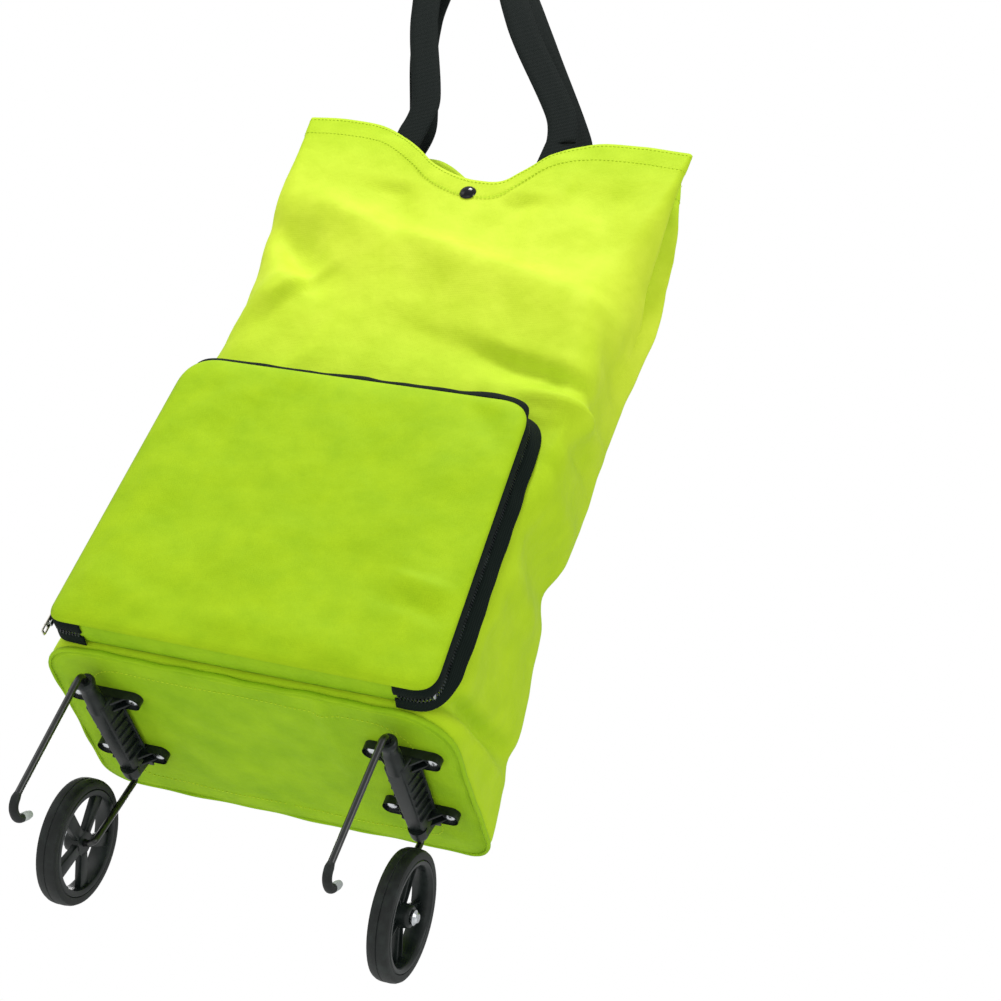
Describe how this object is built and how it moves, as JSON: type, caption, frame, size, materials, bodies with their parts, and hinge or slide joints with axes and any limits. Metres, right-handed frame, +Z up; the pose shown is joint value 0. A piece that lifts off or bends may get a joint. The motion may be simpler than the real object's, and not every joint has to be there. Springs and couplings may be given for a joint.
{
  "type": "folding wheeled shopping bag",
  "caption": "Foldable cloth shopping bag on swing-in wheels and wire legs, with webbing handles and a zipped front pouch it packs into.",
  "frame": {"origin": "on the floor under the middle of the whole bag's footprint", "axes": "+Z up, front with the zipped pouch towards -Y, +X to the right seen from the front"},
  "size_m": [0.336, 0.2, 1.0256],
  "materials": {
    "lime_cloth": "lime-green plain-woven polyester, matt",
    "black_webbing": "black ribbed polypropylene webbing",
    "zip_tape": "black knitted zip tape",
    "zip_teeth": "black moulded nylon zip coil",
    "black_plastic": "black injection-moulded plastic",
    "tread": "black foamed rubber, smooth",
    "painted_steel": "black painted steel wire",
    "bright_steel": "nickel-plated steel",
    "snap_plastic": "glossy black moulded plastic",
    "board_plastic": "stiff black plastic board"
  },
  "bodies": {
    "bag": {"front_panel": "lime_cloth", "back_panel": "lime_cloth", "left_gusset": "lime_cloth", "right_gusset": "lime_cloth", "bottom_panel": "lime_cloth", "base_board": "board_plastic", "bracket_left": "black_plastic", "bracket_right": "black_plastic", "rivet_1": "bright_steel", "rivet_2": "bright_steel", "rivet_3": "bright_steel", "rivet_4": "bright_steel", "rivet_5": "bright_steel", "rivet_6": "bright_steel", "rivet_7": "bright_steel", "rivet_8": "bright_steel", "zip_tape_body": "zip_tape", "zip_teeth_body": "zip_teeth", "zip_end_stop": "bright_steel", "zip_start_stop": "bright_steel", "front_strap_tail_left": "black_webbing", "front_strap_tail_right": "black_webbing", "back_strap_tail_left": "black_webbing", "back_strap_tail_right": "black_webbing", "snap_front_cap": "snap_plastic", "snap_socket": "snap_plastic", "snap_back_cap": "snap_plastic", "snap_stud": "snap_plastic"},
    "left_wire": {"wire_leg_left": "painted_steel", "push_nut_left": "bright_steel"},
    "right_wire": {"wire_leg_right": "painted_steel", "push_nut_right": "bright_steel"},
    "left_wheel": {"wheel_left": "black_plastic", "tyre_left": "tread"},
    "right_wheel": {"wheel_right": "black_plastic", "tyre_right": "tread"},
    "pouch": {"pouch_flap": "lime_cloth", "pouch_bottom_strip": "lime_cloth", "pouch_lining": "lime_cloth", "zip_tape_flap": "zip_tape", "zip_teeth_flap": "zip_teeth", "pocket_zip_tape": "zip_tape", "pocket_zip_teeth": "zip_teeth", "wrist_strap": "lime_cloth"},
    "slider": {"zip_slider": "bright_steel"},
    "slider_pull": {"zip_pull": "bright_steel"},
    "pocket_slider": {"pocket_zip_slider": "bright_steel"},
    "pocket_pull": {"pocket_zip_pull": "bright_steel"},
    "front_loop": {"front_handle": "black_webbing"},
    "back_loop": {"back_handle": "black_webbing"}
  },
  "joints": [
    {"name": "left_wheel_fold", "type": "hinge", "parent": "bag", "child": "left_wire", "pos_m": [-0.114, 0.012, 0.112], "axis": [0, -1, 0], "range_deg": [0, 90]},
    {"name": "right_wheel_fold", "type": "hinge", "parent": "bag", "child": "right_wire", "pos_m": [0.114, 0.012, 0.112], "axis": [0, 1, 0], "range_deg": [0, 90]},
    {"name": "left_wheel_spin", "type": "hinge", "parent": "left_wire", "child": "left_wheel", "pos_m": [-0.126, 0.05, 0.046], "axis": [1, 0, 0], "continuous": true},
    {"name": "right_wheel_spin", "type": "hinge", "parent": "right_wire", "child": "right_wheel", "pos_m": [0.126, 0.05, 0.046], "axis": [1, 0, 0], "continuous": true},
    {"name": "pouch_open", "type": "hinge", "parent": "bag", "child": "pouch", "pos_m": [0, -0.078, 0.134], "axis": [1, 0, 0], "range_deg": [0, 100]},
    {"name": "zip_slide", "type": "slide", "parent": "bag", "child": "slider", "axis": [0, 0, 1], "range_m": [0, 0.19]},
    {"name": "zip_pull_swing", "type": "hinge", "parent": "slider", "child": "slider_pull", "pos_m": [-0.1461, -0.08725, 0.154], "axis": [0, 1, 0], "range_deg": [0, 170]},
    {"name": "pocket_zip_slide", "type": "slide", "parent": "pouch", "child": "pocket_slider", "axis": [1, 0, 0], "range_m": [0, 0.165]},
    {"name": "pocket_pull_swing", "type": "hinge", "parent": "pocket_slider", "child": "pocket_pull", "pos_m": [-0.076, -0.0913, 0.3265], "axis": [0, 0, -1], "range_deg": [0, 30]},
    {"name": "front_handle_fold", "type": "hinge", "parent": "bag", "child": "front_loop", "pos_m": [0, -0.07525, 0.687], "axis": [1, 0, 0], "range_deg": [0, 160]},
    {"name": "back_handle_fold", "type": "hinge", "parent": "bag", "child": "back_loop", "pos_m": [0, -0.0406, 0.687], "axis": [-1, 0, 0], "range_deg": [0, 160]}
  ]
}
